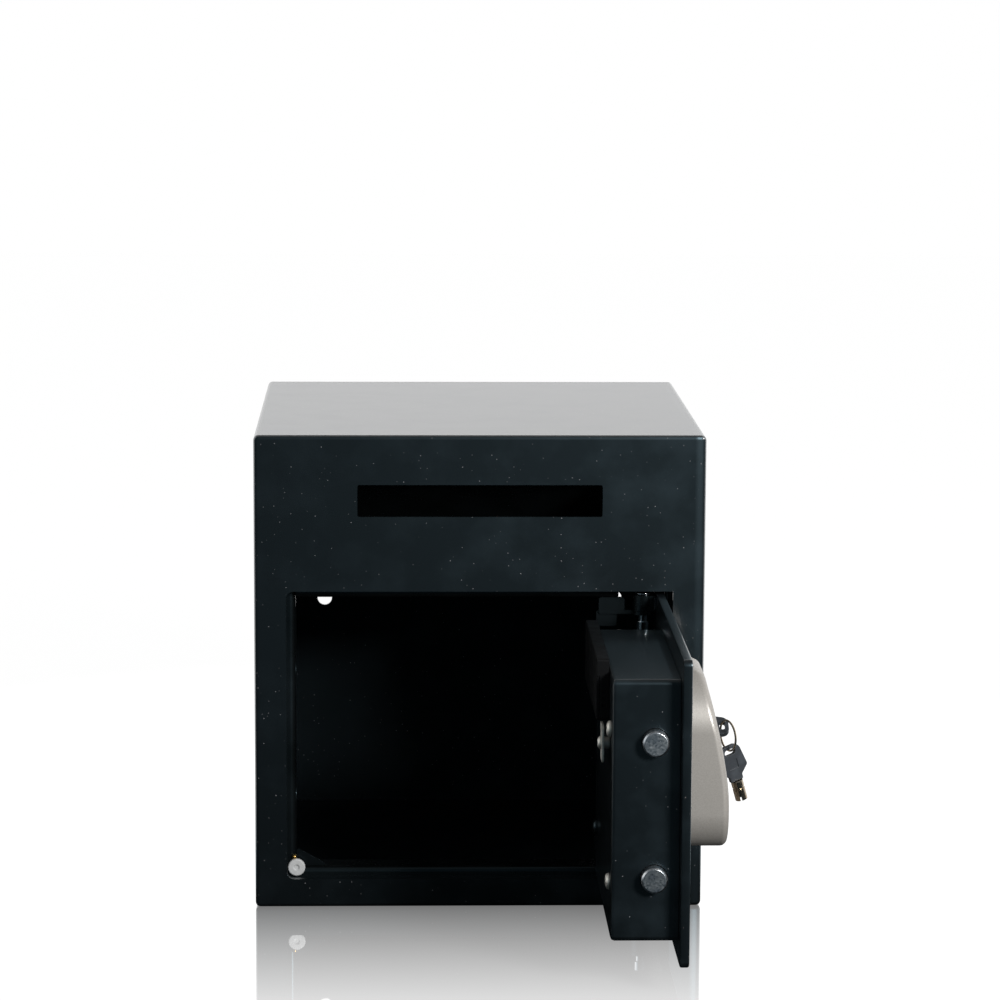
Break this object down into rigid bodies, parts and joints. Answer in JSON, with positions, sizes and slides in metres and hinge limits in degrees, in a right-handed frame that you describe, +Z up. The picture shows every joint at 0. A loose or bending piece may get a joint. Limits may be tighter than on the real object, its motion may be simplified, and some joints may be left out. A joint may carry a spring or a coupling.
{
  "type": "drop safe with deposit slot",
  "caption": "Box-shaped deposit safe with an open drop slot across the top of its front, and below it a hinged door standing open, with bolts, battery tray, keypad and keys.",
  "frame": {"origin": "middle of the body's underside, on the surface it stands on", "axes": "+Z up, -Y out of the front, +X to the right as seen from the front; the door stands open at a right angle on the right"},
  "size_m": [0.3804, 0.62, 0.38],
  "materials": {
    "black_powder_coat": "satin powder coat with a fine ripple",
    "inner_black_paint": "semi-matt black paint",
    "polished_chrome": "bright chrome with fine scratches",
    "bare_steel": "drawn steel, lightly oiled",
    "zinc_plate": "dull zinc plate",
    "grey_rubber": "matt grey rubber",
    "black_plastic": "fine moulded grain",
    "key_bow_plastic": "satin moulded plastic",
    "nickel_plate": "warm nickel plate",
    "silver_paint": "champagne silver metallic paint",
    "key_caps": "pale grey silicone",
    "battery_wrap": "glossy printed sleeve, left plain",
    "green_lens": "clear tinted lens"
  },
  "bodies": {
    "carcass": {"body_shell": "black_powder_coat", "front_panel": "black_powder_coat", "back_panel": "black_powder_coat", "jamb_left": "inner_black_paint", "jamb_top": "inner_black_paint", "jamb_bottom": "inner_black_paint", "hinge_post": "inner_black_paint", "hinge_bracket_top": "inner_black_paint", "hinge_bracket_bottom": "inner_black_paint", "hinge_pin_top": "polished_chrome", "hinge_pin_bottom": "polished_chrome", "chute_hood": "inner_black_paint", "anti_fish_comb": "inner_black_paint", "bumper_gusset": "inner_black_paint", "door_bumper": "grey_rubber"},
    "door": {"door_plate": "black_powder_coat", "door_stiffener": "inner_black_paint", "knuckle_top": "inner_black_paint", "knuckle_bottom": "inner_black_paint", "bolt_cover": "black_powder_coat", "bolt_guide": "bare_steel", "hinge_end_bracket": "bare_steel", "guide_pin_top": "bare_steel", "guide_pin_bottom": "bare_steel", "solenoid": "zinc_plate", "battery_holder": "black_plastic", "battery_1": "battery_wrap", "battery_2": "battery_wrap", "battery_3": "battery_wrap", "battery_4": "battery_wrap", "battery_strap": "zinc_plate", "lock_housing": "silver_paint", "keypad_panel": "black_plastic", "light_guide": "green_lens", "lock_cylinder": "polished_chrome"},
    "battery_door": {"battery_cover": "black_plastic"},
    "bolt_work": {"bolt_carriage": "bare_steel", "bolt_top": "polished_chrome", "bolt_bottom": "polished_chrome"},
    "turn_knob": {"knob": "silver_paint", "spindle_crank": "bare_steel"},
    "lock_plug": {"lock_core": "bare_steel", "lock_cam": "bare_steel", "lock_key_bow": "key_bow_plastic", "lock_key_barrel": "nickel_plate"},
    "ring": {"key_ring": "nickel_plate"},
    "spare_key": {"spare_key_bow": "key_bow_plastic", "spare_key_barrel": "nickel_plate"},
    "press_key_1": {"keypad_key_1": "key_caps"},
    "press_key_2": {"keypad_key_2": "key_caps"},
    "press_key_3": {"keypad_key_3": "key_caps"},
    "press_key_4": {"keypad_key_4": "key_caps"},
    "press_key_5": {"keypad_key_5": "key_caps"},
    "press_key_6": {"keypad_key_6": "key_caps"},
    "press_key_7": {"keypad_key_7": "key_caps"},
    "press_key_8": {"keypad_key_8": "key_caps"},
    "press_key_9": {"keypad_key_9": "key_caps"},
    "press_key_10": {"keypad_key_10": "key_caps"},
    "press_key_11": {"keypad_key_11": "key_caps"},
    "press_key_12": {"keypad_key_12": "key_caps"}
  },
  "joints": [
    {"name": "door_hinge", "type": "hinge", "parent": "carcass", "child": "door", "pos_m": [0.1305, -0.1615, 0.1395], "axis": [0, 0, 1], "range_deg": [-90, 15]},
    {"name": "knob_turn", "type": "hinge", "parent": "door", "child": "turn_knob", "pos_m": [0.16, -0.292, 0.121], "axis": [1, 0, 0], "range_deg": [0, 90]},
    {"name": "bolt_slide", "type": "slide", "parent": "door", "child": "bolt_work", "axis": [0, -1, 0], "range_m": [0, 0.0192]},
    {"name": "battery_cover_slide", "type": "slide", "parent": "door", "child": "battery_door", "axis": [0, -1, 0], "range_m": [0, 0.03]},
    {"name": "lock_turn", "type": "hinge", "parent": "door", "child": "lock_plug", "pos_m": [0.15, -0.292, 0.1715], "axis": [1, 0, 0], "range_deg": [-30, 60]},
    {"name": "ring_swing", "type": "hinge", "parent": "lock_plug", "child": "ring", "pos_m": [0.1822, -0.2917, 0.1728], "axis": [0, 0.866, 0.5], "range_deg": [-8, 8]},
    {"name": "spare_key_swing", "type": "hinge", "parent": "ring", "child": "spare_key", "pos_m": [0.1868, -0.3007, 0.1551], "axis": [-0.4178, 0.9086, 0], "range_deg": [-12, 20]},
    {"name": "key_1_press", "type": "slide", "parent": "door", "child": "press_key_1", "axis": [-1, 0, 0], "range_m": [0, 0.0008], "stiffness_N_per_m": 1200, "springref_m": -0.0003},
    {"name": "key_2_press", "type": "slide", "parent": "door", "child": "press_key_2", "axis": [-1, 0, 0], "range_m": [0, 0.0008], "stiffness_N_per_m": 1200, "springref_m": -0.0003},
    {"name": "key_3_press", "type": "slide", "parent": "door", "child": "press_key_3", "axis": [-1, 0, 0], "range_m": [0, 0.0008], "stiffness_N_per_m": 1200, "springref_m": -0.0003},
    {"name": "key_4_press", "type": "slide", "parent": "door", "child": "press_key_4", "axis": [-1, 0, 0], "range_m": [0, 0.0008], "stiffness_N_per_m": 1200, "springref_m": -0.0003},
    {"name": "key_5_press", "type": "slide", "parent": "door", "child": "press_key_5", "axis": [-1, 0, 0], "range_m": [0, 0.0008], "stiffness_N_per_m": 1200, "springref_m": -0.0003},
    {"name": "key_6_press", "type": "slide", "parent": "door", "child": "press_key_6", "axis": [-1, 0, 0], "range_m": [0, 0.0008], "stiffness_N_per_m": 1200, "springref_m": -0.0003},
    {"name": "key_7_press", "type": "slide", "parent": "door", "child": "press_key_7", "axis": [-1, 0, 0], "range_m": [0, 0.0008], "stiffness_N_per_m": 1200, "springref_m": -0.0003},
    {"name": "key_8_press", "type": "slide", "parent": "door", "child": "press_key_8", "axis": [-1, 0, 0], "range_m": [0, 0.0008], "stiffness_N_per_m": 1200, "springref_m": -0.0003},
    {"name": "key_9_press", "type": "slide", "parent": "door", "child": "press_key_9", "axis": [-1, 0, 0], "range_m": [0, 0.0008], "stiffness_N_per_m": 1200, "springref_m": -0.0003},
    {"name": "key_10_press", "type": "slide", "parent": "door", "child": "press_key_10", "axis": [-1, 0, 0], "range_m": [0, 0.0008], "stiffness_N_per_m": 1200, "springref_m": -0.0003},
    {"name": "key_11_press", "type": "slide", "parent": "door", "child": "press_key_11", "axis": [-1, 0, 0], "range_m": [0, 0.0008], "stiffness_N_per_m": 1200, "springref_m": -0.0003},
    {"name": "key_12_press", "type": "slide", "parent": "door", "child": "press_key_12", "axis": [-1, 0, 0], "range_m": [0, 0.0008], "stiffness_N_per_m": 1200, "springref_m": -0.0003}
  ],
  "couplings": [
    {"joint": "bolt_slide", "follows": "knob_turn", "m_per_rad": 0.012223}
  ]
}
